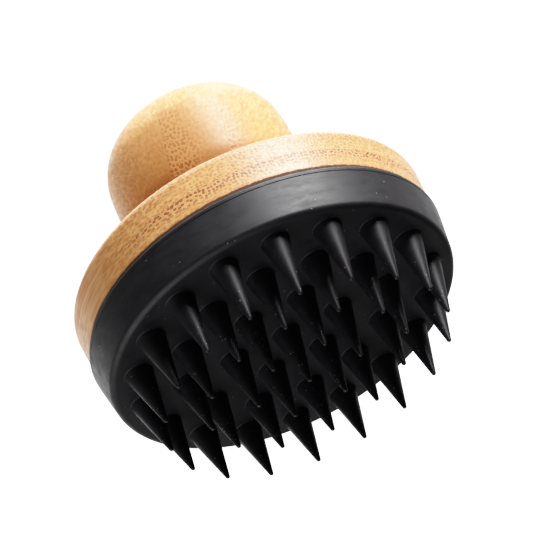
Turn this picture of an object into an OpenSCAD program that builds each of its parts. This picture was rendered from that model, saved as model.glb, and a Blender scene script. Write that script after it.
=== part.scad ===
// Scalp massager brush: a turned bamboo knob screwed to a laminated bamboo base,
// with a pull-off silicone head that carries rings of soft pointed cones.
//
// Origin: on the brush's axis, in the plane of the cone tips. +Z points up to the knob.
// +X passes through one cone of every ring. Millimetres.

/* [Cones] */
// Length of a cone, from the head's face to its tip
cone_h = 12.5; // [9:0.5:16]
// Radius of a cone where it leaves the face
cone_base_r = 2.95; // [2.2:0.05:3.1]
// Radius of a cone's rounded tip
cone_tip_r = 0.45; // [0.3:0.05:0.8]
// Radius of the inner ring of cones, at the tips
inner_ring_r = 11; // [9:0.5:12]
// Radius of the middle ring of cones, at the tips
middle_ring_r = 21; // [18.5:0.5:22]
// Radius of the outer ring of cones, at the tips
outer_ring_r = 30; // [28.5:0.5:31]
// How much farther out a cone is at its root than at its tip, as a share of its radius
cone_lean = 0.03; // [0:0.005:0.05]

/* [Silicone head] */
// Radius of the head's side wall at its lower corner
face_r = 36.7; // [36.4:0.1:37.5]
// Radius of the head's side wall at its lip
lip_r = 37.8; // [37.6:0.1:39]
// Height of the head, from its face to its lip
head_h = 9; // [8:0.25:11]
// Rounding of the lower corner
corner_r = 0.9; // [0.4:0.1:1.2]
// Rounding of the lip
lip_round_r = 0.4; // [0.2:0.05:0.5]
// Height of the lip band above the parting groove
lip_band_h = 0.85; // [0.6:0.05:1.5]
// Depth of the parting groove
groove_depth = 0.15; // [0.05:0.05:0.25]
// Thickness of the floor that the cones stand on
floor_t = 2.6; // [1.8:0.1:3]

/* [Bamboo base] */
// Thickness of the upper layer, which carries the rounded edge
upper_ply_t = 5.5; // [4.5:0.1:7]
// Thickness of the middle layer, which rests on the head's lip
middle_ply_t = 4.85; // [4:0.05:6]
// Thickness of the lower layer, the spigot inside the head
lower_ply_t = 4.7; // [3.5:0.1:5]
// Radius of the base's side at its lower edge
base_low_r = 37.1; // [36.8:0.1:37.4]
// Radius of the base's side below its rounded top edge
base_top_r = 37.6; // [37.2:0.1:38]
// Rounding of the base's top edge
base_edge_r = 1.8; // [0.5:0.1:3]
// Radius of the lower layer, which the head is stretched over
spigot_r = 35; // [34.5:0.1:35.2]
// Chamfer of the spigot's lower edge
spigot_chamfer = 0.6; // [0.3:0.1:1]

/* [Knob] */
// Radius of the knob at its widest
knob_r = 19.7; // [18:0.1:22]
// Half the height of the knob's rounded body
knob_half_h = 16.85; // [15.5:0.05:17.3]
// Clear height between the base and the knob's underside
knob_gap = 4.45; // [3.5:0.05:4.9]
// Radius of the rounding between the knob's side and its crown
knob_shoulder_r = 11.6; // [11.1:0.1:12.5]
// Radius of the slight bulge of the knob's side
knob_side_r = 65; // [60:1:90]
// Half the angle that the side's bulge spans
knob_side_angle = 5; // [4.5:0.5:7]
// Radius of the hollow between the knob and its foot
neck_cove_r = 2.8; // [2.6:0.1:3]
// Radius of the tenon that sits in the base
tenon_r = 8; // [6:0.5:9]
// Depth of the tenon's socket in the base
tenon_depth = 7.7; // [6:0.1:8]

/* [Screw] */
// Nominal diameter of the screw
screw_d = 4; // [3.5:0.5:4.5]
// Length of the screw, with its countersunk head
screw_l = 30; // [25:1:35]
// Diameter of the screw's head
screw_head_d = 8; // [7:0.5:8.5]

/* [Hidden] */
$fn = 96;

BAMBOO = "burlywood";
BAMBOO_INNER = "tan";
SILICONE = [0.13, 0.13, 0.15];
STEEL = "lightgray";

cones_per_ring_step = 6;

// How far cutting shapes reach past what they cut, and a size larger than the brush
over = 1;
big = 200;

// Clearances between pieces that are put together by hand
slip_gap = 0.05;
seat_gap = 0.05;
screw_sink = 0.2;

// Heights
face_z = cone_h;
floor_top_z = face_z + floor_t;
lip_z = face_z + head_h;
shoulder_z = lip_z + seat_gap;
ply_middle_top_z = shoulder_z + middle_ply_t;
base_top_z = ply_middle_top_z + upper_ply_t;
spigot_z = shoulder_z - lower_ply_t;
knob_z = base_top_z + knob_gap + knob_half_h;
tenon_z = base_top_z - tenon_depth;
screw_z = spigot_z + screw_sink;

// Silicone head
socket_r = spigot_r + slip_gap;
groove_slope = 0.6;
mouth_chamfer = 0.5;
inner_corner = 0.8;

// Base
cove_land = 0.9;
screw_clear_r = screw_d / 2 + slip_gap;
screw_head_h = (screw_head_d - screw_d) / 2;
screw_rim_h = 0.3;
socket_floor_gap = 0.3;

// Screw thread, drawn as plain rings, and the share of a pitch where a ring has its crest and end
thread_depth = 0.5;
thread_pitch = 1.8;
thread_share = 0.62;
thread_l = screw_l * thread_share;
crest_share = 0.35;
ring_share = 0.7;
screw_point_l = 4;
recess_w = 0.9;
recess_l = 4.2;
recess_depth = 1.6;
pilot_extra = 3;

// Arc centres of the knob's outline, measured from the knob's centre
side_cx = knob_r - knob_side_r;
shoulder_cx = side_cx + (knob_side_r - knob_shoulder_r) * cos(knob_side_angle);
shoulder_cz = (knob_side_r - knob_shoulder_r) * sin(knob_side_angle);
crown_h = knob_half_h - knob_shoulder_r - shoulder_cz;
crown_span = (shoulder_cx * shoulder_cx + crown_h * crown_h) / (2 * crown_h);
crown_r = crown_span + knob_shoulder_r;
crown_cz = knob_half_h - crown_r;
crown_angle = acos(shoulder_cx / crown_span);

// Cove that joins the knob's underside to its foot
cove_z = base_top_z + neck_cove_r;
cove_reach = knob_shoulder_r + neck_cove_r;
cove_drop = knob_z - shoulder_cz - cove_z;
cove_x = shoulder_cx + sqrt(cove_reach * cove_reach - cove_drop * cove_drop);
cove_touch_x = shoulder_cx + (cove_x - shoulder_cx) * knob_shoulder_r / cove_reach;
cove_touch_z = knob_z - shoulder_cz - cove_drop * knob_shoulder_r / cove_reach;

function lean_angle(ring_r) = atan(ring_r * cone_lean / cone_h);

// --- Knob ---------------------------------------------------------------

// The quarter where the side, the shoulder and the crown meet is kept inside the chord
// between the ends of the shoulder's arc, and the shoulder's own circle fills it out.
module knob_outline() {
    side_x = side_cx + knob_side_r * cos(knob_side_angle);
    side_z = knob_side_r * sin(knob_side_angle);
    crown_x = crown_r * cos(crown_angle);
    crown_z = crown_cz + crown_r * sin(crown_angle);
    top = knob_half_h + over;
    intersection() {
        translate([0, -top]) square([knob_r + over, 2 * top]);
        union() {
            for (side = [-1, 1])
                translate([shoulder_cx, side * shoulder_cz]) circle(r = knob_shoulder_r);
            intersection() {
                translate([side_cx, 0]) circle(r = knob_side_r, $fn = 360);
                translate([0, crown_cz]) circle(r = crown_r, $fn = 360);
                translate([0, -crown_cz]) circle(r = crown_r, $fn = 360);
                polygon([
                    [0, -top], [crown_x, -top], [crown_x, -crown_z], [side_x, -side_z],
                    [knob_r + over, -side_z], [knob_r + over, side_z], [side_x, side_z],
                    [crown_x, crown_z], [crown_x, top], [0, top]
                ]);
            }
        }
    }
}

module knob_foot_outline() {
    foot_x = cove_x - cove_land;
    difference() {
        polygon([
            [0, base_top_z], [foot_x, base_top_z], [foot_x, cove_z], [cove_touch_x, cove_touch_z],
            [0, cove_touch_z + over]
        ]);
        translate([cove_x, cove_z]) circle(r = neck_cove_r);
    }
}

module knob() {
    pilot_top_z = screw_z + screw_l + pilot_extra;
    color(BAMBOO)
    difference() {
        union() {
            rotate_extrude() translate([0, knob_z]) knob_outline();
            rotate_extrude() knob_foot_outline();
            translate([0, 0, tenon_z + socket_floor_gap])
                cylinder(r = tenon_r, h = base_top_z - tenon_z);
        }
        translate([0, 0, tenon_z - over])
            cylinder(r = screw_clear_r, h = pilot_top_z - tenon_z + over);
    }
}

// --- Base ---------------------------------------------------------------

// Side of the base, which the two visible layers share
module base_outline() {
    edge_cx = base_top_r - base_edge_r;
    edge_cz = base_top_z - base_edge_r;
    intersection() {
        square([base_top_r, base_top_z]);
        union() {
            polygon([
                [0, shoulder_z], [base_low_r, shoulder_z], [base_top_r, edge_cz],
                [edge_cx, edge_cz], [edge_cx, base_top_z], [0, base_top_z]
            ]);
            translate([edge_cx, edge_cz]) circle(r = base_edge_r);
        }
    }
}

module base_layer(low_z, thickness) {
    difference() {
        intersection() {
            rotate_extrude($fn = 180) base_outline();
            translate([0, 0, low_z]) cylinder(r = big, h = thickness);
        }
        translate([0, 0, tenon_z]) cylinder(r = tenon_r + slip_gap, h = big);
        cylinder(r = screw_clear_r, h = big);
    }
}

module base_ply_upper() {
    color(BAMBOO) base_layer(ply_middle_top_z, upper_ply_t);
}

module base_ply_middle() {
    color(BAMBOO_INNER) base_layer(shoulder_z, middle_ply_t);
}

module base_ply_lower() {
    color(BAMBOO)
    difference() {
        rotate_extrude($fn = 180) polygon([
            [0, spigot_z], [spigot_r - spigot_chamfer, spigot_z],
            [spigot_r, spigot_z + spigot_chamfer], [spigot_r, shoulder_z], [0, shoulder_z]
        ]);
        cylinder(r = screw_clear_r, h = big);
        countersink();
    }
}

// Seat of the screw's head, with the same small clearance all round
module countersink() {
    seat_r = screw_head_d / 2 + slip_gap;
    translate([0, 0, spigot_z - over])
        cylinder(r = seat_r, h = screw_z + screw_rim_h - spigot_z + over);
    translate([0, 0, screw_z + screw_rim_h])
        cylinder(r1 = seat_r, r2 = screw_clear_r, h = seat_r - screw_clear_r);
}

// --- Fixing screw -------------------------------------------------------

module fixing_screw() {
    root_r = screw_d / 2 - thread_depth;
    thread_z = screw_l - screw_point_l - thread_l;
    turns = floor(thread_l / thread_pitch);
    rings = [for (i = [0 : turns - 1]) each [
        [root_r, thread_z + i * thread_pitch],
        [screw_d / 2, thread_z + (i + crest_share) * thread_pitch],
        [root_r, thread_z + (i + ring_share) * thread_pitch]
    ]];
    color(STEEL)
    translate([0, 0, screw_z])
    difference() {
        rotate_extrude($fn = 48) polygon(concat(
            [[0, 0], [screw_head_d / 2, 0], [screw_head_d / 2, screw_rim_h],
             [screw_d / 2, screw_rim_h + screw_head_h], [screw_d / 2, thread_z - thread_depth]],
            rings,
            [[root_r, screw_l - screw_point_l], [0, screw_l]]
        ));
        for (turn = [0, 90])
            rotate([0, 0, turn])
                translate([-recess_l / 2, -recess_w / 2, -over])
                    cube([recess_l, recess_w, recess_depth + over]);
    }
}

// --- Silicone head ------------------------------------------------------

module head_shell() {
    taper = atan((lip_r - face_r) / head_h);
    corner_x = face_r - corner_r;
    corner_z = face_z + corner_r;
    touch = [corner_x + corner_r * cos(taper), corner_z - corner_r * sin(taper)];
    lip_x = lip_r - lip_round_r;
    lip_cz = lip_z - lip_round_r;
    lip_touch = [lip_x + lip_round_r * cos(taper), lip_cz - lip_round_r * sin(taper)];
    groove_z = lip_z - lip_band_h;
    wall_x = touch[0] + (lip_touch[0] - touch[0]) * (groove_z - touch[1]) / (lip_touch[1] - touch[1]);
    color(SILICONE)
    rotate_extrude($fn = 180)
    difference() {
        union() {
            polygon([
                [0, face_z], [corner_x, face_z], [corner_x, corner_z], touch,
                lip_touch, [lip_x, lip_cz], [lip_x, lip_z], [0, lip_z]
            ]);
            translate([corner_x, corner_z]) circle(r = corner_r);
            translate([lip_x, lip_cz]) circle(r = lip_round_r);
        }
        polygon([
            [-over, floor_top_z], [socket_r - inner_corner, floor_top_z],
            [socket_r, floor_top_z + inner_corner], [socket_r, lip_z - mouth_chamfer],
            [socket_r + mouth_chamfer, lip_z], [socket_r + mouth_chamfer, lip_z + over],
            [-over, lip_z + over]
        ]);
        polygon([
            [wall_x - groove_depth, groove_z], [wall_x + over, groove_z - groove_slope],
            [wall_x + over, groove_z + groove_slope]
        ]);
    }
}

module cone() {
    slope = asin((cone_base_r - cone_tip_r) / (cone_h - cone_tip_r));
    touch = [cone_tip_r * cos(slope), cone_tip_r * (1 - sin(slope))];
    rotate_extrude($fn = 32)
    union() {
        intersection() {
            translate([0, cone_tip_r]) circle(r = cone_tip_r);
            square([cone_tip_r, touch[1]]);
        }
        polygon([
            [0, touch[1]], touch,
            [cone_base_r + over * tan(slope), cone_h + over], [0, cone_h + over]
        ]);
    }
}

// One ring of cones, cut off at the head's face
module cone_ring(ring_r, count) {
    intersection() {
        for (i = [0 : count - 1])
            rotate([0, 0, i * 360 / count])
                translate([ring_r, 0, cone_tip_r])
                    rotate([0, lean_angle(ring_r), 0])
                        translate([0, 0, -cone_tip_r]) cone();
        translate([0, 0, -over]) cylinder(r = face_r, h = face_z + over);
    }
}

module cone_centre() {
    color(SILICONE) cone_ring(0, 1);
}

module cones_inner() {
    color(SILICONE) cone_ring(inner_ring_r, cones_per_ring_step);
}

module cones_middle() {
    color(SILICONE) cone_ring(middle_ring_r, 2 * cones_per_ring_step);
}

module cones_outer() {
    color(SILICONE) cone_ring(outer_ring_r, 3 * cones_per_ring_step);
}

knob();
base_ply_upper();
base_ply_middle();
base_ply_lower();
fixing_screw();
head_shell();
cone_centre();
cones_inner();
cones_middle();
cones_outer();
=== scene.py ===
"""Looks of the scalp massager brush: turned bamboo, moulded silicone, steel screw, studio.

Lengths in this script are millimetres, and become metres when a mesh or a light is made.
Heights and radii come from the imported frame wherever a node's box gives them.
"""

import math

import bmesh
import bpy
from mathutils import Matrix, Vector
from mathutils.geometry import delaunay_2d_cdt


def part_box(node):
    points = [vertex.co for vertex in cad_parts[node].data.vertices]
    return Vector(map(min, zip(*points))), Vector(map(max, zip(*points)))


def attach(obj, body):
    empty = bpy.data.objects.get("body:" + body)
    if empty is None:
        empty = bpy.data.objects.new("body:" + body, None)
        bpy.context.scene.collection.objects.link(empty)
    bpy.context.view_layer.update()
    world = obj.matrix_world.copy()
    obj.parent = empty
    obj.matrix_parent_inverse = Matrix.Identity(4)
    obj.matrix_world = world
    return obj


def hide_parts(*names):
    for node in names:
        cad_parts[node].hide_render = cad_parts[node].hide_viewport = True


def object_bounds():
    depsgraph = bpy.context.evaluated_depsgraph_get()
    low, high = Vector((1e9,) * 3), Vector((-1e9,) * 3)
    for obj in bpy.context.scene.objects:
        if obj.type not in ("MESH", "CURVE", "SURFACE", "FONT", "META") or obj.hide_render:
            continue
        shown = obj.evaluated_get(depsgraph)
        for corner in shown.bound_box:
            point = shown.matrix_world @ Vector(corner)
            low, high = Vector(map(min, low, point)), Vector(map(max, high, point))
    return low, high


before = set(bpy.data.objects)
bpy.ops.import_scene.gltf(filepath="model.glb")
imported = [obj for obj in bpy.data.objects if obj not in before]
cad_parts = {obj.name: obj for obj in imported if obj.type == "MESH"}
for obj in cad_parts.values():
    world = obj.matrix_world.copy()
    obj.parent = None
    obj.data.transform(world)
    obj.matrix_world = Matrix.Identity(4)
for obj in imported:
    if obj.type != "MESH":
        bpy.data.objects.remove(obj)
cad_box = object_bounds()

MM = 0.001


def box_mm(node):
    low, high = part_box(node)
    return low / MM, high / MM


# --- Sizes ------------------------------------------------------------------

# Silicone head. The corner, the lip's rounding and the cones' feet are this script's own: the corner
# is as wide as the bright line in the photo
shell_low, shell_high = box_mm("head_shell")
FACE_Z = shell_low.z
LIP_Z = shell_high.z
LIP_R = shell_high.x
CORNER_R = 1.3
LIP_ROUND_R = 0.22
LIP_BAND_H = 0.85
WALL_FLARE = 1.1
GROOVE_DEPTH = 0.13
GROOVE_HALF_W = 0.09
FLOOR_T = 2.6
SOCKET_R = 35.05
SOCKET_CORNER_R = 0.8
MOUTH_CHAMFER = 0.5

CONE_LEAN = 0.03
CONE_TIP_R = 0.45
CONE_FOOT_R = 0.14
CONES_PER_STEP = 6
CONE_STEPS = 40
TURN_STEPS = 216

# Base, from its rounded edge down to the spigot in the head's socket
UPPER_LOW, UPPER_HIGH = box_mm("base_ply_upper")
MIDDLE_LOW, MIDDLE_HIGH = box_mm("base_ply_middle")
LOWER_LOW, LOWER_HIGH = box_mm("base_ply_lower")
BASE_LOW_R = 37.1
BASE_TOP_R = UPPER_HIGH.x
BASE_EDGE_R = 1.8
SPIGOT_R = LOWER_HIGH.x
SPIGOT_CHAMFER = 0.6
SMALL_BEVEL = 0.2
SOCKET_IN_BASE_R = 8.05
SCREW_HOLE_R = 2.05

# Knob, drawn from its crown down
KNOB_LOW, KNOB_HIGH = box_mm("knob")
KNOB_R = KNOB_HIGH.x
KNOB_HALF_H = 16.85
KNOB_Z = KNOB_HIGH.z - KNOB_HALF_H
KNOB_SHOULDER_R = 11.6
KNOB_SIDE_R = 65
KNOB_SIDE_ANGLE = math.radians(5)
NECK_COVE_R = 2.8
FOOT_LAND = 0.9
TENON_R = 8
KNOB_STEPS = 192

# Countersunk screw
SCREW_LOW, SCREW_HIGH = box_mm("fixing_screw")
SCREW_R = 2
SCREW_HEAD_R = SCREW_HIGH.x
SCREW_RIM_H = 0.3
THREAD_DEPTH = 0.5
THREAD_PITCH = 1.8
SCREW_POINT_L = 4
THREAD_L = 18.6
RECESS_ARM = 2.1
RECESS_W = 0.45
RECESS_DEPTH = 1.6
SCREW_STEPS = 48

# --- Mesh helpers -----------------------------------------------------------


def arc(centre, radius, start, end, steps):
    """Points of an arc in an outline's (radius, height) plane, both ends included. Radians."""
    turns = [start + (end - start) * i / steps for i in range(steps + 1)]
    return [(centre[0] + radius * math.cos(a), centre[1] + radius * math.sin(a)) for a in turns]


def circle(centre, radius, steps):
    turns = [2 * math.pi * i / steps for i in range(steps)]
    return [(centre[0] + radius * math.cos(a), centre[1] + radius * math.sin(a)) for a in turns]


def spread(start, end, steps):
    """Points between two outline points, without the first."""
    shares = [i / steps for i in range(1, steps + 1)]
    return [tuple(a + (b - a) * s for a, b in zip(start, end)) for s in shares]


def add_ring(mesh, points):
    return [mesh.verts.new(Vector(p) * MM) for p in points]


def bridge(mesh, ring_a, ring_b):
    """Faces between two rings. A ring of one vertex closes into a fan."""
    count = max(len(ring_a), len(ring_b))
    for i in range(count):
        j = (i + 1) % count
        corners = [ring_a[i % len(ring_a)], ring_a[j % len(ring_a)]]
        corners += [ring_b[j % len(ring_b)], ring_b[i % len(ring_b)]]
        loop = [v for k, v in enumerate(corners) if v not in corners[:k]]
        if len(loop) > 2:
            mesh.faces.new(loop)


def turn_outline(mesh, outline, steps, closed=True):
    """Turns an outline of (radius, height) points round the Z axis."""
    rings = []
    for radius, height in outline:
        points = [(x, y, height) for x, y in circle((0, 0), radius, steps if radius > 0 else 1)]
        rings.append(add_ring(mesh, points))
    pairs = list(zip(rings, rings[1:]))
    if closed:
        pairs.append((rings[-1], rings[0]))
    for ring_a, ring_b in pairs:
        bridge(mesh, ring_a, ring_b)


def make_piece(name, mesh, material, body, replaced, crease=35):
    """Welds the mesh, makes it an object with its material, and ties it to the frame."""
    bmesh.ops.remove_doubles(mesh, verts=mesh.verts, dist=1e-7)
    bmesh.ops.recalc_face_normals(mesh, faces=mesh.faces)
    data = bpy.data.meshes.new(name)
    mesh.to_mesh(data)
    mesh.free()
    data.shade_smooth()
    data.set_sharp_from_angle(angle=math.radians(crease))
    data.materials.append(material)
    piece = bpy.data.objects.new(name, data)
    bpy.context.scene.collection.objects.link(piece)
    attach(piece, body)
    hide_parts(*replaced)
    return piece


def plate(mesh, outer, holes, height, inner_points=()):
    """A flat sheet at one height with holes. outer and holes are rings of (x, y) points."""
    points = list(outer)
    edges = [(i, (i + 1) % len(outer)) for i in range(len(outer))]
    for hole in holes:
        first = len(points)
        points += hole
        edges += [(first + i, first + (i + 1) % len(hole)) for i in range(len(hole))]
    points += list(inner_points)
    coords = [Vector(p) for p in points]
    verts, _, faces, *_ = delaunay_2d_cdt(coords, edges, [], 1, 1e-6)
    made = add_ring(mesh, [(v.x, v.y, height) for v in verts])
    for face in faces:
        mid = sum((verts[i] for i in face), Vector((0, 0))) / len(face)
        if not any(inside(mid, hole) for hole in holes):
            mesh.faces.new([made[i] for i in face])


def inside(point, ring):
    """Whether a point is within a ring of (x, y) points."""
    within = False
    for (ax, ay), (bx, by) in zip(ring, ring[1:] + ring[:1]):
        if (ay > point[1]) != (by > point[1]):
            if point[0] < ax + (bx - ax) * (point[1] - ay) / (by - ay):
                within = not within
    return within


# --- Silicone head ----------------------------------------------------------


def cone_rings():
    """(ring radius at the tips, number of cones) of every ring, the centre cone first."""
    base_r = box_mm("cone_centre")[1].x
    rings = [(0, 1)]
    for step, node in enumerate(("cones_inner", "cones_middle", "cones_outer"), start=1):
        reach = box_mm(node)[1].x
        rings.append(((reach - base_r) / (1 + CONE_LEAN), step * CONES_PER_STEP))
    return base_r, rings


def cone_outline(base_r):
    """(radius, height) from the tip up to the face, with the tiny fillet at the root."""
    slope = math.asin((base_r - CONE_TIP_R) / (FACE_Z - CONE_TIP_R))
    tip = arc((0, CONE_TIP_R), CONE_TIP_R, -math.pi / 2, -slope, 7)
    tip[0] = (0, 0)
    foot_r = base_r + CONE_FOOT_R * (1 - math.sin(slope)) / math.cos(slope)
    fillet_centre = (foot_r, FACE_Z - CONE_FOOT_R)
    fillet = arc(fillet_centre, CONE_FOOT_R, math.pi - slope, math.pi / 2, 7)
    return tip + spread(tip[-1], fillet[0], 9) + fillet[1:]


def add_cones(mesh):
    """Every cone of the head. Returns the rings where they meet the face."""
    base_r, rings = cone_rings()
    outline = cone_outline(base_r)
    feet = []
    for ring_r, count in rings:
        for i in range(count):
            turn = 2 * math.pi * i / count
            loops = []
            for radius, height in outline:
                out = ring_r * (1 + CONE_LEAN * (height - CONE_TIP_R) / (FACE_Z - CONE_TIP_R))
                centre = (out * math.cos(turn), out * math.sin(turn))
                points = circle(centre, radius, CONE_STEPS if radius > 0 else 1)
                loops.append(add_ring(mesh, [(x, y, height) for x, y in points]))
            for loop_a, loop_b in zip(loops, loops[1:]):
                bridge(mesh, loop_a, loop_b)
            feet.append((centre, radius))
    return feet


def shell_outline():
    """The shell's section from the face's edge round the wall and the socket to the axis."""
    face_r = LIP_R - WALL_FLARE
    taper = math.atan(WALL_FLARE / (LIP_Z - FACE_Z))
    corner = (face_r - CORNER_R, FACE_Z + CORNER_R)
    lip = (LIP_R - LIP_ROUND_R, LIP_Z - LIP_ROUND_R)
    corner_arc = arc(corner, CORNER_R, -math.pi / 2, -taper, 9)
    lip_arc = arc(lip, LIP_ROUND_R, -taper, math.pi / 2, 8)
    groove_z = LIP_Z - LIP_BAND_H
    groove_share = (groove_z - corner_arc[-1][1]) / (lip_arc[0][1] - corner_arc[-1][1])
    wall_x = corner_arc[-1][0] + (lip_arc[0][0] - corner_arc[-1][0]) * groove_share
    groove = [
        (wall_x, groove_z - GROOVE_HALF_W), (wall_x - GROOVE_DEPTH, groove_z - GROOVE_HALF_W / 4),
        (wall_x - GROOVE_DEPTH, groove_z + GROOVE_HALF_W / 4), (wall_x, groove_z + GROOVE_HALF_W),
    ]
    floor_z = FACE_Z + FLOOR_T
    mouth = [(SOCKET_R + MOUTH_CHAMFER, LIP_Z), (SOCKET_R, LIP_Z - MOUTH_CHAMFER)]
    inner_corner = (SOCKET_R - SOCKET_CORNER_R, floor_z + SOCKET_CORNER_R)
    socket_arc = arc(inner_corner, SOCKET_CORNER_R, 0, -math.pi / 2, 6)
    outer = corner_arc + spread(corner_arc[-1], groove[0], 6)[:-1] + groove + lip_arc
    return outer + mouth + socket_arc + spread(socket_arc[-1], (0, floor_z), 12)


def make_head(material):
    """One moulding: the shell, its face and the 37 cones, in one skin. The face gets rings of points
    round its holes and its edge, and an even grid between them, so that its triangles stay small."""
    mesh = bmesh.new()
    margin = 0.25
    grid_margin = 1
    pitch = 1.8
    feet = add_cones(mesh)
    outline = shell_outline()
    turn_outline(mesh, outline, TURN_STEPS, closed=False)
    edge_r = outline[0][0]
    holes = [circle(centre, radius, CONE_STEPS) for centre, radius in feet]
    guards = [p for centre, radius in feet for p in circle(centre, radius + margin, CONE_STEPS)]
    guards += circle((0, 0), edge_r - margin, TURN_STEPS)
    count = int(edge_r / pitch) + 1
    for row in range(-count, count + 1):
        for column in range(-count, count + 1):
            point = ((column + row % 2 / 2) * pitch, row * pitch * math.sqrt(3) / 2)
            clear = all(math.dist(point, centre) > radius + grid_margin for centre, radius in feet)
            if clear and math.hypot(*point) < edge_r - grid_margin:
                guards.append(point)
    plate(mesh, circle((0, 0), edge_r, TURN_STEPS), holes, FACE_Z, guards)
    cones = ["cone_centre", "cones_inner", "cones_middle", "cones_outer"]
    return make_piece("silicone_head", mesh, material, "head", ["head_shell", *cones])


# --- Bamboo base ------------------------------------------------------------


def base_side_r(height):
    """Radius of the base's side, which widens a little up to its rounded edge."""
    share = (height - MIDDLE_LOW.z) / (UPPER_HIGH.z - BASE_EDGE_R - MIDDLE_LOW.z)
    return BASE_LOW_R + (BASE_TOP_R - BASE_LOW_R) * share


def upper_ply_outline():
    edge = (BASE_TOP_R - BASE_EDGE_R, UPPER_HIGH.z - BASE_EDGE_R)
    rounding = arc(edge, BASE_EDGE_R, 0, math.pi / 2, 14)
    side = spread((base_side_r(UPPER_LOW.z), UPPER_LOW.z), rounding[0], 4)
    top = spread(rounding[-1], (SOCKET_IN_BASE_R, UPPER_HIGH.z), 12)
    bottom = [(SOCKET_IN_BASE_R, UPPER_LOW.z), (base_side_r(UPPER_LOW.z), UPPER_LOW.z)]
    return side[:-1] + rounding + top + bottom


def middle_ply_outline():
    tenon_clearance = 0.3
    tenon_z = KNOB_LOW.z - tenon_clearance
    foot = (base_side_r(MIDDLE_LOW.z), MIDDLE_LOW.z)
    side = spread((foot[0], foot[1] + SMALL_BEVEL), (base_side_r(MIDDLE_HIGH.z), MIDDLE_HIGH.z), 6)
    bore = [(SOCKET_IN_BASE_R, MIDDLE_HIGH.z), (SOCKET_IN_BASE_R, tenon_z), (SCREW_HOLE_R, tenon_z)]
    floor = [(SCREW_HOLE_R, MIDDLE_LOW.z), (foot[0] - SMALL_BEVEL, foot[1])]
    return [(foot[0], foot[1] + SMALL_BEVEL)] + side + bore + floor


def lower_ply_outline():
    seat_clearance = 0.05
    seat_r = SCREW_HEAD_R + seat_clearance
    seat_z = SCREW_LOW.z + SCREW_RIM_H
    chamfer = [(SPIGOT_R - SPIGOT_CHAMFER, LOWER_LOW.z), (SPIGOT_R, LOWER_LOW.z + SPIGOT_CHAMFER)]
    sink = [(SCREW_HOLE_R, seat_z + seat_r - SCREW_HOLE_R), (seat_r, seat_z), (seat_r, LOWER_LOW.z)]
    under = spread(sink[-1], chamfer[0], 10)
    return chamfer + [(SPIGOT_R, LOWER_HIGH.z), (SCREW_HOLE_R, LOWER_HIGH.z)] + sink + under[:-1]


def make_ply(name, outline, material):
    mesh = bmesh.new()
    turn_outline(mesh, outline, TURN_STEPS)
    return make_piece(name, mesh, material, "handle", [f"base_{name}"])


# --- Knob -------------------------------------------------------------------


def knob_outline():
    """From the crown down over the side, the cove and the foot to the tenon and its pilot hole."""
    side_cx = KNOB_R - KNOB_SIDE_R
    reach = KNOB_SIDE_R - KNOB_SHOULDER_R
    shoulder_x = side_cx + reach * math.cos(KNOB_SIDE_ANGLE)
    shoulder_h = reach * math.sin(KNOB_SIDE_ANGLE)
    crown_h = KNOB_HALF_H - KNOB_SHOULDER_R - shoulder_h
    crown_span = (shoulder_x**2 + crown_h**2) / (2 * crown_h)
    crown_r = crown_span + KNOB_SHOULDER_R
    crown_angle = math.acos(shoulder_x / crown_span)
    base_z = UPPER_HIGH.z
    cove_z = base_z + NECK_COVE_R
    low_shoulder = (shoulder_x, KNOB_Z - shoulder_h)
    cove_drop = low_shoulder[1] - cove_z
    cove_x = shoulder_x + math.sqrt((KNOB_SHOULDER_R + NECK_COVE_R) ** 2 - cove_drop**2)
    cove_angle = math.atan2(cove_drop, shoulder_x - cove_x)
    foot_angle = math.pi + math.acos(FOOT_LAND / NECK_COVE_R)
    crown = arc((0, KNOB_HIGH.z - crown_r), crown_r, math.pi / 2, crown_angle, 16)
    crown[0] = (0, KNOB_HIGH.z)
    shoulder_top = (shoulder_x, KNOB_Z + shoulder_h)
    shoulder = arc(shoulder_top, KNOB_SHOULDER_R, crown_angle, KNOB_SIDE_ANGLE, 28)
    side = arc((side_cx, KNOB_Z), KNOB_SIDE_R, KNOB_SIDE_ANGLE, -KNOB_SIDE_ANGLE, 14)
    under = arc(low_shoulder, KNOB_SHOULDER_R, -KNOB_SIDE_ANGLE, cove_angle - math.pi, 28)
    cove = arc((cove_x, cove_z), NECK_COVE_R, cove_angle, foot_angle, 16)
    foot = [(cove_x - FOOT_LAND, base_z), (TENON_R, base_z)]
    tenon_end = KNOB_LOW.z
    tenon = [(TENON_R, tenon_end + SMALL_BEVEL), (TENON_R - SMALL_BEVEL, tenon_end)]
    pilot_spare = 3
    pilot_top = SCREW_HIGH.z + pilot_spare
    pilot = [(SCREW_HOLE_R, tenon_end), (SCREW_HOLE_R, pilot_top - SCREW_HOLE_R), (0, pilot_top)]
    return crown + shoulder[1:] + side[1:] + under[1:] + cove[1:] + foot + tenon + pilot


def make_knob(material):
    mesh = bmesh.new()
    turn_outline(mesh, knob_outline(), KNOB_STEPS, closed=False)
    return make_piece("knob_turned", mesh, material, "handle", ["knob"])


# --- Screw ------------------------------------------------------------------


def thread_height(share):
    """Height of the thread's profile, from 0 to 1, at a share of one pitch."""
    crest, flank = 0.06, 0.34
    return max(0.0, min(1.0, (flank - abs(share % 1 - 0.5)) / (flank - crest)))


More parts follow.
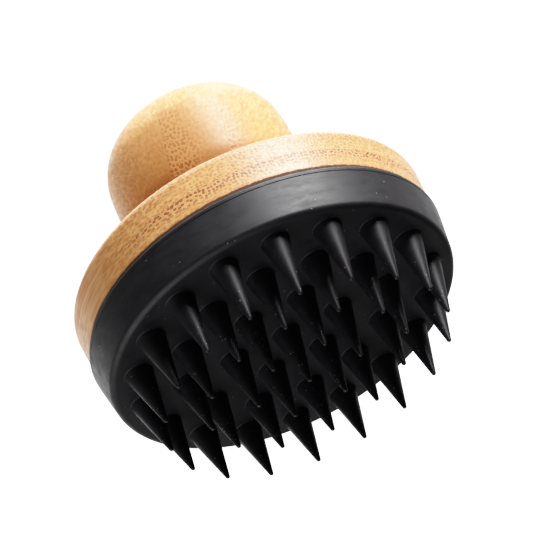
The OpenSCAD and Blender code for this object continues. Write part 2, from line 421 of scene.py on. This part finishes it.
def screw_shank_rings():
    """(height above the head's face, list of radii round the shank) from the neck to the point."""
    steps = SCREW_STEPS
    rows_per_pitch = 12
    length = SCREW_HIGH.z - SCREW_LOW.z
    point_z = length - SCREW_POINT_L
    thread_z = point_z - THREAD_L
    rows = int((length - thread_z) / THREAD_PITCH * rows_per_pitch)
    for row in range(rows):
        height = thread_z + row * THREAD_PITCH / rows_per_pitch
        narrowing = max(0.0, min(1.0, (length - height) / SCREW_POINT_L))
        run_in = min(1.0, row / rows_per_pitch)
        core = (SCREW_R - THREAD_DEPTH * run_in) * narrowing
        depth = THREAD_DEPTH * run_in * min(1.0, narrowing * 2)
        turns = height / THREAD_PITCH
        yield height, [core + depth * thread_height(turns - i / steps) for i in range(steps)]


def cross_recess(arm, half_width):
    """The four-armed outline of the driver's recess."""
    corner = [(arm, -half_width), (arm, half_width), (half_width, half_width)]
    ring = []
    for quarter in range(4):
        turn = Matrix.Rotation(quarter * math.pi / 2, 2)
        ring += [tuple(turn @ Vector(p)) for p in corner]
    return ring


def make_screw(material):
    mesh = bmesh.new()
    steps = SCREW_STEPS
    rim_bevel = 0.1
    point_depth = 0.3
    face_r = SCREW_HEAD_R - rim_bevel
    top = cross_recess(RECESS_ARM, RECESS_W)
    bottom = cross_recess(RECESS_ARM * 0.45, RECESS_W * 0.6)
    plate(mesh, circle((0, 0), face_r, steps), [top], SCREW_LOW.z)
    rim = add_ring(mesh, [(x, y, SCREW_LOW.z) for x, y in top])
    pit = add_ring(mesh, [(x, y, SCREW_LOW.z + RECESS_DEPTH) for x, y in bottom])
    bridge(mesh, rim, pit)
    bridge(mesh, pit, add_ring(mesh, [(0, 0, SCREW_LOW.z + RECESS_DEPTH + point_depth)]))
    neck_z = SCREW_LOW.z + SCREW_RIM_H + SCREW_HEAD_R - SCREW_R
    head = [
        (face_r, SCREW_LOW.z), (SCREW_HEAD_R, SCREW_LOW.z + rim_bevel),
        (SCREW_HEAD_R, SCREW_LOW.z + SCREW_RIM_H), (SCREW_R, neck_z),
    ]
    loops = [add_ring(mesh, [(x, y, z) for x, y in circle((0, 0), r, steps)]) for r, z in head]
    for height, radii in screw_shank_rings():
        turns = [2 * math.pi * i / steps for i in range(steps)]
        z = SCREW_LOW.z + height
        ring = [(r * math.cos(a), r * math.sin(a), z) for r, a in zip(radii, turns)]
        loops.append(add_ring(mesh, ring))
    loops.append(add_ring(mesh, [(0, 0, SCREW_HIGH.z)]))
    for loop_a, loop_b in zip(loops, loops[1:]):
        bridge(mesh, loop_a, loop_b)
    return make_piece("screw", mesh, material, "handle", ["fixing_screw"], crease=25)


# --- Material helpers -------------------------------------------------------


class Nodes:
    """Adds shader nodes to a material or a world, with links or values for their inputs."""

    def __init__(self, owner):
        owner.use_nodes = True
        self.owner = owner
        self.tree = owner.node_tree

    def fill(self, node, inputs):
        for key, value in inputs.items():
            if isinstance(value, bpy.types.NodeSocket):
                self.tree.links.new(value, node.inputs[key])
            else:
                node.inputs[key].default_value = value

    def add(self, kind, inputs=(), **settings):
        node = self.tree.nodes.new("ShaderNode" + kind)
        for key, value in settings.items():
            setattr(node, key, value)
        self.fill(node, dict(inputs))
        return node

    def surface(self, inputs):
        self.fill(self.tree.nodes["Principled BSDF"], inputs)

    def math(self, operation, a, b=0.0, c=0.0):
        return self.add("Math", {0: a, 1: b, 2: c}, operation=operation).outputs[0]

    def product(self, *values):
        total = values[0]
        for value in values[1:]:
            total = self.math("MULTIPLY", total, value)
        return total

    def ramp(self, value, start, end, low=0.0, high=1.0):
        """value mapped smoothly from start..end to low..high."""
        inputs = {"Value": value, "From Min": start, "From Max": end, "To Min": low, "To Max": high}
        return self.add("MapRange", inputs, interpolation_type="SMOOTHSTEP").outputs["Result"]

    def mix(self, factor, a, b, blend="MIX"):
        inputs = {0: factor, 6: a, 7: b}
        return self.add("Mix", inputs, data_type="RGBA", blend_type=blend).outputs[2]

    def noise(self, vector, scale, detail=2.0, rough=0.5):
        inputs = {"Vector": vector, "Scale": scale, "Detail": detail, "Roughness": rough}
        return self.add("TexNoise", inputs).outputs["Fac"]

    def scaled(self, vector, scale):
        return self.add("VectorMath", {0: vector, 1: scale}, operation="MULTIPLY").outputs[0]

    def bump(self, height, distance, strength=1.0, normal=None):
        inputs = {"Height": height, "Distance": distance, "Strength": strength}
        if normal is not None:
            inputs["Normal"] = normal
        return self.add("Bump", inputs).outputs["Normal"]


def rgb(red, green, blue):
    """An sRGB colour from 0 to 255 as the linear colour that a shader takes."""
    shares = [c / 255 for c in (red, green, blue)]
    linear = [c / 12.92 if c <= 0.04045 else ((c + 0.055) / 1.055) ** 2.4 for c in shares]
    return (*linear, 1.0)


# --- Bamboo -----------------------------------------------------------------

BAMBOO_GROUND = rgb(222, 160, 94)
BAMBOO_PALE = rgb(242, 190, 130)
BAMBOO_WARM = rgb(203, 132, 70)
BAMBOO_DENSE = rgb(188, 114, 62)
# Partly oil soaked end grain, partly painted shade on the knob's lower front
BAMBOO_SOAK_AND_SHADE = rgb(138, 89, 45)
BAMBOO_DOT = rgb(128, 66, 34)
# Painted glints: pale streaks standing in for light caught by glossy fibres
BAMBOO_GLINT = rgb(246, 206, 122)
# Near-black of the base's foot: partly charred wood, partly painted shade at the seam with the
# silicone
BAMBOO_SCORCH_AND_SHADE = rgb(58, 33, 12)

# Radius of a bundle's core, as a share of the spacing, at a layer's dense and open sides
BUNDLE_R = 0.37
OPEN_BUNDLE_R = 0.33
OPEN_SPACING = 1.1

# Heights above the base's foot where the dark band starts and where it is full: a brown band, then a
# near-black edge, partly charred wood and partly painted shade where the wood meets the silicone
TOAST_SHADE_START = 1.7
TOAST_SHADE_FULL = 0.9
BURN_SHADE_START = 1.2
BURN_SHADE_FULL = 0.88


class Layers:
    """How a piece is glued up. grain is the fibres' direction. The layers follow each other along
    stack, each from its dense outer side to its open inner side, and each is made of strips.
    glue is how well the joints show."""

    def __init__(self, grain, stack, start, pitch, strip_start, strip_w, glue):
        self.grain = Vector(grain).normalized()
        self.stack = (Vector(stack) - self.grain * self.grain.dot(Vector(stack))).normalized()
        self.start = start
        self.pitch = pitch
        self.strip_start = strip_start
        self.strip_w = strip_w
        self.glue = glue

    def euler(self):
        """The turn that brings the grain to X, the stack to Y and the strips' width to Z."""
        return Matrix((self.grain, self.stack, self.grain.cross(self.stack))).to_euler()


def along_fibres(nodes, turned):
    """The turned place, bent a little as fibres wander along their length."""
    slow = nodes.scaled(turned, (25.0, 90.0, 90.0))
    wander = nodes.add("TexNoise", {"Vector": slow, "Scale": 1.0, "Detail": 1.0}).outputs["Color"]
    centred = nodes.add("VectorMath", {0: wander, 1: (0.5, 0.5, 0.5)}, operation="SUBTRACT")
    shift = nodes.scaled(centred.outputs[0], (0.0, 1.3 * MM, 1.3 * MM))
    return nodes.add("VectorMath", {0: turned, 1: shift}, operation="ADD").outputs[0]


def bundles(nodes, bent, cell, radius):
    """Vascular bundles: rods along the grain. Returns their dark cores and their pale sheaths."""
    axes = nodes.add("SeparateXYZ", {0: bent}).outputs
    vector = nodes.add("CombineXYZ", {"X": axes[1], "Y": axes[2], "Z": 0.0}).outputs[0]
    inputs = {"Vector": vector, "Scale": 1 / (cell * MM), "Randomness": 0.7}
    distance = nodes.add("TexVoronoi", inputs, voronoi_dimensions="2D").outputs["Distance"]
    hollow = nodes.ramp(distance, 0.0, radius * 0.5, 0.6, 1.0)
    core = nodes.product(nodes.ramp(distance, radius * 1.3, radius * 0.7), hollow)
    sheath = nodes.ramp(distance, radius * 2.4, radius * 1.4)
    return core, sheath


def cut_across(nodes, layers):
    """1 where the surface cuts the fibres squarely, 0 where it runs along them."""
    normal = nodes.add("TexCoord").outputs["Normal"]
    facing = nodes.add("VectorMath", {0: normal, 1: layers.grain}, operation="DOT_PRODUCT")
    return nodes.math("ABSOLUTE", facing.outputs["Value"])


def bamboo(
    name, layers, cell, dark, open_dark, cut, gloss, streaky, soak_and_shade=0.0, glints=0.0, scorch_shade_z=None
):
    """Laminated bamboo. dark is how strong the bundles' dots are at a layer's outer side, and
    open_dark at its inner side, cell their spacing, cut how squarely the surface has to cut the
    fibres before the dots start to show and until they show in full. gloss is the specular level,
    streaky how strongly fibres differ in colour, soak_and_shade how much darker the wood gets where
    the surface cuts the grain squarely, partly oil soaked into end grain and partly painted shade on
    the knob's lower front, and glints how strongly painted glints show, pale streaks for light
    caught by glossy fibres where the surface runs along them. scorch_shade_z, if given, is the
    height of
    the foot, whose edge is painted dark: partly charred wood, partly painted shade at the silicone."""
    nodes = Nodes(bpy.data.materials.new(name))
    place = nodes.add("TexCoord").outputs["Object"]
    inputs = {"Vector": place, "Rotation": layers.euler()}
    turned = nodes.add("Mapping", inputs).outputs[0]
    bent = along_fibres(nodes, turned)
    plain = nodes.add("SeparateXYZ", {0: turned}).outputs

    # Where in its layer a point is, and which strip it belongs to
    from_start = nodes.math("SUBTRACT", plain[1], layers.start * MM)
    layer = nodes.math("DIVIDE", from_start, layers.pitch * MM)
    from_side = nodes.math("SUBTRACT", plain[2], layers.strip_start * MM)
    strip = nodes.math("DIVIDE", from_side, layers.strip_w * MM)
    index = {"X": nodes.math("FLOOR", layer), "Y": nodes.math("FLOOR", strip)}
    which = nodes.add("CombineXYZ", index).outputs[0]
    chance = nodes.add("TexWhiteNoise", {"Vector": which}).outputs["Value"]

    # Dense bundles near the outer side, faint and wider spaced ones inwards
    patch = nodes.noise(nodes.scaled(turned, (20.0, 150.0, 150.0)), 1.0)
    depth = nodes.math("ADD", nodes.math("FRACT", layer), nodes.ramp(patch, 0.3, 0.7, -0.12, 0.12))
    core, sheath = bundles(nodes, bent, cell, BUNDLE_R)
    open_core, open_sheath = bundles(nodes, bent, cell * OPEN_SPACING, OPEN_BUNDLE_R)
    inward = nodes.ramp(depth, 0.4, 0.65)
    core = nodes.add("Mix", {0: inward, 2: core, 3: open_core}, data_type="FLOAT").outputs[0]
    sheath = nodes.add("Mix", {0: inward, 2: sheath, 3: open_sheath}, data_type="FLOAT").outputs[0]
    across = cut_across(nodes, layers)
    pores = nodes.ramp(across, cut[0], cut[1], 0.12, 1.0)
    contrast = nodes.product(nodes.ramp(depth, 0.05, 0.75, dark, open_dark), pores)
    uneven = nodes.ramp(nodes.noise(bent, 700.0, 1.0), 0.3, 0.6, 0.6, 1.0)
    dots = nodes.product(core, contrast, uneven)

    # Ground: fine fibre streaks, broad clouds, a tone for each strip
    streaks = nodes.noise(nodes.scaled(bent, (18.0, 1500.0, 1500.0)), 1.0, 3.0, 0.6)
    clouds = nodes.noise(nodes.scaled(turned, (25.0, 110.0, 110.0)), 1.0, 3.0)
    figure = nodes.ramp(streaks, 0.32, 0.68, 0.5 - streaky / 2, 0.5 + streaky / 2)
    colour = nodes.mix(figure, BAMBOO_WARM, BAMBOO_PALE)
    colour = nodes.mix(nodes.ramp(clouds, 0.25, 0.75, 0.12, 0.5), colour, BAMBOO_GROUND)
    colour = nodes.mix(nodes.product(chance, 0.3), colour, BAMBOO_WARM)
    dense = nodes.product(nodes.ramp(depth, 0.0, 0.7, 0.6, 0.0), dark, pores)
    colour = nodes.mix(dense, colour, BAMBOO_DENSE)
    # Painted shade, partly real oil soak: darker where the surface cuts the grain squarely, as on
    # the knob's lower front
    colour = nodes.mix(nodes.ramp(across, 0.55, 0.95, 0.0, soak_and_shade), colour, BAMBOO_SOAK_AND_SHADE)
    colour = nodes.mix(nodes.product(sheath, contrast, 0.4), colour, BAMBOO_PALE)
    colour = nodes.mix(dots, colour, BAMBOO_DOT)
    # Painted glints: pale streaks for light caught by glossy fibres, where the surface runs along
    # the grain
    if glints:
        short = nodes.noise(nodes.scaled(bent, (140.0, 1300.0, 1300.0)), 1.0, 1.0)
        where = nodes.product(nodes.ramp(nodes.noise(place, 95.0, 1.0), 0.45, 0.6), glints)
        glint = nodes.product(nodes.ramp(short, 0.56, 0.7), nodes.ramp(across, 0.75, 0.5), where)
        colour = nodes.mix(glint, colour, BAMBOO_GLINT)

    # Glue lines between layers and strips
    layer_gap = nodes.product(nodes.math("PINGPONG", layer, 0.5), layers.pitch)
    strip_gap = nodes.product(nodes.math("PINGPONG", strip, 0.5), layers.strip_w)
    gap = nodes.math("MINIMUM", layer_gap, strip_gap)
    broken = nodes.ramp(nodes.noise(place, 1500.0, 1.0), 0.35, 0.6, 0.12, 0.5)
    glue = nodes.product(nodes.ramp(gap, 0.15, 0.04), broken, layers.glue)
    colour = nodes.mix(glue, colour, BAMBOO_DOT)

    # Roughness, and the dark foot: partly charred wood, partly painted shade where the wood meets
    # the silicone
    rough = nodes.ramp(streaks, 0.25, 0.75, 0.48, 0.38)
    if scorch_shade_z is not None:
        height = nodes.add("SeparateXYZ", {0: place}).outputs[2]
        uneven_edge = nodes.ramp(streaks, 0.3, 0.7, -0.06 * MM, 0.06 * MM)
        height = nodes.math("ADD", height, uneven_edge)
        toast_shade_heights = [(scorch_shade_z + h) * MM for h in (TOAST_SHADE_START, TOAST_SHADE_FULL)]
        burn_shade_heights = [(scorch_shade_z + h) * MM for h in (BURN_SHADE_START, BURN_SHADE_FULL)]
        toasted_and_shaded = nodes.ramp(height, *toast_shade_heights, 0.0, 0.6)
        burnt_and_shaded = nodes.ramp(height, *burn_shade_heights, 0.0, 0.97)
        colour = nodes.mix(toasted_and_shaded, colour, BAMBOO_DENSE)
        colour = nodes.mix(burnt_and_shaded, colour, BAMBOO_SCORCH_AND_SHADE)
        rough = nodes.math("ADD", rough, nodes.product(burnt_and_shaded, 0.4))

    normal = nodes.bump(nodes.product(dots, -1.0), 0.03 * MM)
    normal = nodes.bump(streaks, 0.015 * MM, normal=normal)
    nodes.surface({"Base Color": colour, "Roughness": rough, "Normal": normal})
    nodes.surface({"IOR": 1.5, "Specular IOR Level": gloss})
    return nodes.owner


# --- Silicone ---------------------------------------------------------------

SILICONE_DARK = rgb(14, 11, 18)
SILICONE_PALE = rgb(20, 16, 25)
DUST_GREY = rgb(190, 188, 184)
DUST_ON_TIPS_H = (9.5, 5)

def dust(nodes, place, cell, radius, share):
    """Scattered specks. share is how many of the pattern's cells hold one, cell their size in
    millimetres, and radius that of a speck, as a share of a cell."""
    inputs = {"Vector": place, "Scale": 1 / (cell * MM)}
    cells = nodes.add("TexVoronoi", inputs)
    chance = nodes.add("SeparateColor", {0: cells.outputs["Color"]}).outputs[0]
    picked = nodes.math("LESS_THAN", chance, share)
    spot = nodes.ramp(cells.outputs["Distance"], radius * 1.6, radius * 0.6)
    return nodes.product(picked, spot)


def silicone():
    nodes = Nodes(bpy.data.materials.new("silicone_matte_black"))
    place = nodes.add("TexCoord").outputs["Object"]
    smudge = nodes.noise(place, 90.0, 4.0, 0.6)
    skin = nodes.noise(place, 5200.0, 2.0)
    height = nodes.add("SeparateXYZ", {0: place}).outputs[2]
    start, full = (h * MM for h in DUST_ON_TIPS_H)
    near_tips = nodes.ramp(height, start, full, 0.0, 0.5)
    tip_specks = nodes.product(dust(nodes, place, 0.7, 0.13, 0.3), near_tips)
    specks = nodes.product(dust(nodes, place, 1.4, 0.055, 0.3), 0.8)
    marks = nodes.math("MAXIMUM", specks, tip_specks)
    colour = nodes.mix(nodes.ramp(smudge, 0.3, 0.75), SILICONE_DARK, SILICONE_PALE)
    colour = nodes.mix(marks, colour, DUST_GREY)
    scuffs = nodes.noise(nodes.scaled(place, (160.0, 420.0, 700.0)), 1.0, 4.0, 0.65)
    rubbed = nodes.ramp(scuffs, 0.3, 0.7, -0.05, 0.06)
    rough = nodes.math("ADD", nodes.ramp(smudge, 0.3, 0.7, 0.55, 0.47), rubbed)
    normal = nodes.bump(skin, 0.006 * MM)
    normal = nodes.bump(marks, 0.02 * MM, normal=normal)
    nodes.surface({"Base Color": colour, "Roughness": rough, "Normal": normal})
    nodes.surface({"IOR": 1.45, "Specular IOR Level": 0.8})
    return nodes.owner


# --- Steel ------------------------------------------------------------------

ZINC_DARK = rgb(178, 179, 182)
ZINC_PALE = rgb(206, 205, 200)

def steel():
    nodes = Nodes(bpy.data.materials.new("zinc_plated_steel"))
    place = nodes.add("TexCoord").outputs["Object"]
    wear = nodes.noise(place, 420.0, 4.0, 0.6)
    drawn = nodes.noise(nodes.scaled(place, (2500.0, 2500.0, 300.0)), 1.0, 2.0)
    colour = nodes.mix(nodes.ramp(wear, 0.3, 0.7), ZINC_DARK, ZINC_PALE)
    rough = nodes.ramp(drawn, 0.25, 0.75, 0.24, 0.4)
    normal = nodes.bump(drawn, 0.004 * MM)
    nodes.surface({"Base Color": colour, "Roughness": rough, "Normal": normal})
    nodes.surface({"Metallic": 1.0})
    return nodes.owner


# --- Studio -----------------------------------------------------------------


def direction(azimuth, elevation):
    """Unit vector from the brush. Azimuth 0 is towards -Y and 90 towards +X. Degrees."""
    a, e = math.radians(azimuth), math.radians(elevation)
    return Vector((math.sin(a) * math.cos(e), -math.cos(a) * math.cos(e), math.sin(e)))


# Where the light tent is bright: direction, how many degrees the glow reaches, and its strength.
# The ceiling behind on the right, the sweep behind the brush and its left part, the ceiling on the
# left, then below the brush: the tent's left wall, the table behind and the table in front
TENT_GLOW = (
    (direction(130, 60), 68, 0.95),
    (direction(178, 33), 65, 1.2),
    (direction(-152, 38), 50, 1.5),
    (direction(-105, 70), 40, 0.9),
    (direction(-88, -46), 48, 2.2),
    (direction(-150, -55), 70, 0.25),
    (direction(-25, -60), 36, 0.45),
)
AMBIENT_GLOW = 0.033
GLOW_CORE = 0.97

LAMP_DISTANCE = 900

# The brightest light that the picture tells apart, and how steep its darks are
TONE_WHITE = 3.0
TONE_CONTRAST = 1.23

FLOOR_R = 0.6
FLOOR_FADE = (0.12, 0.45)
FLOOR_GAP = 0.1


def make_camera(centre):
    """The photograph's view: from below and in front, turned clockwise, with a long lens."""
    azimuth, elevation, roll, distance = -1.45, -33.43, -27.36, 582.6
    aim_offset = Vector((2.7, 2.96, -4.6))
    aim = centre + aim_offset
    back = direction(azimuth, elevation)
    camera = bpy.data.objects.new("photo_camera", bpy.data.cameras.new("photo_camera"))
    bpy.context.scene.collection.objects.link(camera)
    camera.location = (aim + back * distance) * MM
    facing = (-back).to_track_quat("-Z", "Y").to_matrix()
    turned = facing @ Matrix.Rotation(math.radians(roll), 3, "Z")
    camera.rotation_euler = turned.to_euler()
    camera.data.lens = 196.2
    camera.data.clip_start = 0.05
    camera.data.clip_end = 20
    bpy.context.scene.camera = camera


def softbox(name, centre, azimuth, elevation, width, height, watts):
    lamp = bpy.data.lights.new(name, "AREA")
    lamp.shape = "ELLIPSE"
    lamp.size = width * MM
    lamp.size_y = height * MM
    lamp.energy = watts
    holder = bpy.data.objects.new(name, lamp)
    towards = direction(azimuth, elevation)
    holder.location = (centre + towards * LAMP_DISTANCE) * MM
    holder.rotation_euler = towards.to_track_quat("Z", "Y").to_euler()
    holder.visible_camera = False
    bpy.context.scene.collection.objects.link(holder)


def response(light):
    """How bright the picture shows a light: more contrast in the darks, and a soft shoulder."""
    full = 1 - math.exp(-(TONE_WHITE**TONE_CONTRAST))
    return (1 - math.exp(-(light**TONE_CONTRAST))) / full


def make_tone():
    """Gives the picture a camera's response, so that highlights turn pale before they clip."""
    view = bpy.context.scene.view_settings
    view.view_transform = "Standard"
    view.look = "None"
    view.use_curve_mapping = True
    mapping = view.curve_mapping
    mapping.white_level = (TONE_WHITE,) * 3
    curve = mapping.curves[3]
    steps = 24
    crowding = 2.5
    for i in range(1, steps):
        share = (i / steps) ** crowding
        curve.points.new(share, response(share * TONE_WHITE))
    mapping.update()


def make_world():
    """White behind the brush, and the soft glow of a light tent for everything that isn't seen."""
    world = bpy.data.worlds.new("studio")
    bpy.context.scene.world = world
    nodes = Nodes(world)
    nodes.tree.nodes.clear()
    way = nodes.add("TexCoord").outputs["Generated"]
    glow = AMBIENT_GLOW
    for towards, reach, strength in TENT_GLOW:
        facing = nodes.add("VectorMath", {0: way, 1: towards}, operation="DOT_PRODUCT")
        edge = math.cos(math.radians(reach))
        lobe = nodes.ramp(facing.outputs["Value"], edge, GLOW_CORE, 0.0, strength)
        glow = nodes.math("ADD", lobe, glow)
    tent = nodes.add("Background", {"Color": (1.0, 0.99, 0.98, 1.0), "Strength": glow}).outputs[0]
    white = {"Color": (1.0, 1.0, 1.0, 1.0), "Strength": TONE_WHITE}
    backdrop = nodes.add("Background", white).outputs[0]
    seen = nodes.add("LightPath").outputs["Is Camera Ray"]
    choose = nodes.add("MixShader", {0: seen, 1: tent, 2: backdrop}).outputs[0]
    nodes.add("OutputWorld", {"Surface": choose})


def floor_material():
    """Pale paper that is see-through from below and fades into the backdrop far away."""
    nodes = Nodes(bpy.data.materials.new("floor_paper"))
    place = nodes.add("TexCoord").outputs["Object"]
    grain = nodes.noise(place, 900.0, 3.0)
    colour = nodes.mix(grain, rgb(236, 235, 232), rgb(244, 243, 241))
    nodes.surface({"Base Color": colour, "Roughness": 0.8})
    from_centre = nodes.add("VectorMath", {0: place}, operation="LENGTH").outputs["Value"]
    fade = nodes.ramp(from_centre, *FLOOR_FADE)
    below = nodes.add("NewGeometry").outputs["Backfacing"]
    hidden = nodes.math("MAXIMUM", fade, below)
    clear = nodes.add("BsdfTransparent").outputs[0]
    paper = nodes.tree.nodes["Principled BSDF"].outputs[0]
    shown = nodes.add("MixShader", {0: hidden, 1: paper, 2: clear}).outputs[0]
    nodes.fill(nodes.tree.nodes["Material Output"], {"Surface": shown})
    return nodes.owner


def make_floor():
    mesh = bmesh.new()
    bmesh.ops.create_circle(mesh, cap_ends=True, segments=96, radius=FLOOR_R)
    data = bpy.data.meshes.new("floor")
    mesh.to_mesh(data)
    mesh.free()
    data.materials.append(floor_material())
    floor = bpy.data.objects.new("floor", data)
    floor.location.z = -FLOOR_GAP * MM
    floor.visible_shadow = False
    floor.visible_diffuse = False
    floor.visible_glossy = False
    bpy.context.scene.collection.objects.link(floor)


def make_studio():
    low, high = (corner / MM for corner in cad_box)
    centre = (low + high) / 2
    make_camera(centre)
    make_world()
    make_floor()
    softbox("key", centre, azimuth=44, elevation=29, width=380, height=400, watts=21)
    softbox("upper_key", centre, azimuth=42, elevation=50, width=380, height=300, watts=8.5)
    softbox("right_ceiling", centre, azimuth=100, elevation=62, width=500, height=500, watts=6)
    softbox("left_ceiling", centre, azimuth=-35, elevation=66, width=500, height=500, watts=4)
    make_tone()


# --- Build ------------------------------------------------------------------

BASE_GRAIN = direction(33, 0)
KNOB_GRAIN = (0.1, 0.8, 0.6)
KNOB_STACK = (0.977, 0, -0.21)
KNOB_LAYERS = Layers(
    KNOB_GRAIN, KNOB_STACK, start=-15.3, pitch=12.5, strip_start=-42, strip_w=30, glue=0.5
)


def ply_material(name, low, high, dark, open_dark, scorch_shade_z=None):
    """Bamboo of one layer of the base, with its dense side up."""
    down = (0, 0, -1)
    thick = high.z - low.z
    layers = Layers(BASE_GRAIN, down, -high.z, thick, strip_start=-45, strip_w=90, glue=0.7)
    return bamboo(
        name, layers, cell=0.68, dark=dark, open_dark=open_dark, cut=(0.2, 0.6), gloss=0.6,
        streaky=1.4, scorch_shade_z=scorch_shade_z,
    )


def knob_material():
    # The knob's soak tone is partly painted shade on its lower front
    return bamboo(
        # glints adds painted glints to the knob
        "bamboo_knob", KNOB_LAYERS, cell=0.85, dark=0.9, open_dark=0.12, cut=(0.5, 0.97), gloss=0.32,
        streaky=0.75, soak_and_shade=0.85, glints=0.7,
    )


make_head(silicone())
upper = ply_material("bamboo_upper", UPPER_LOW, UPPER_HIGH, 0.6, 0.5)
# The middle ply's foot is painted dark: partly charred wood, partly painted shade at the silicone
middle = ply_material("bamboo_middle", MIDDLE_LOW, MIDDLE_HIGH, 1.0, 0.4, scorch_shade_z=MIDDLE_LOW.z)
lower = ply_material("bamboo_lower", LOWER_LOW, LOWER_HIGH, 0.6, 0.3)
make_ply("ply_upper", upper_ply_outline(), upper)
make_ply("ply_middle", middle_ply_outline(), middle)
make_ply("ply_lower", lower_ply_outline(), lower)
make_knob(knob_material())
make_screw(steel())
make_studio()
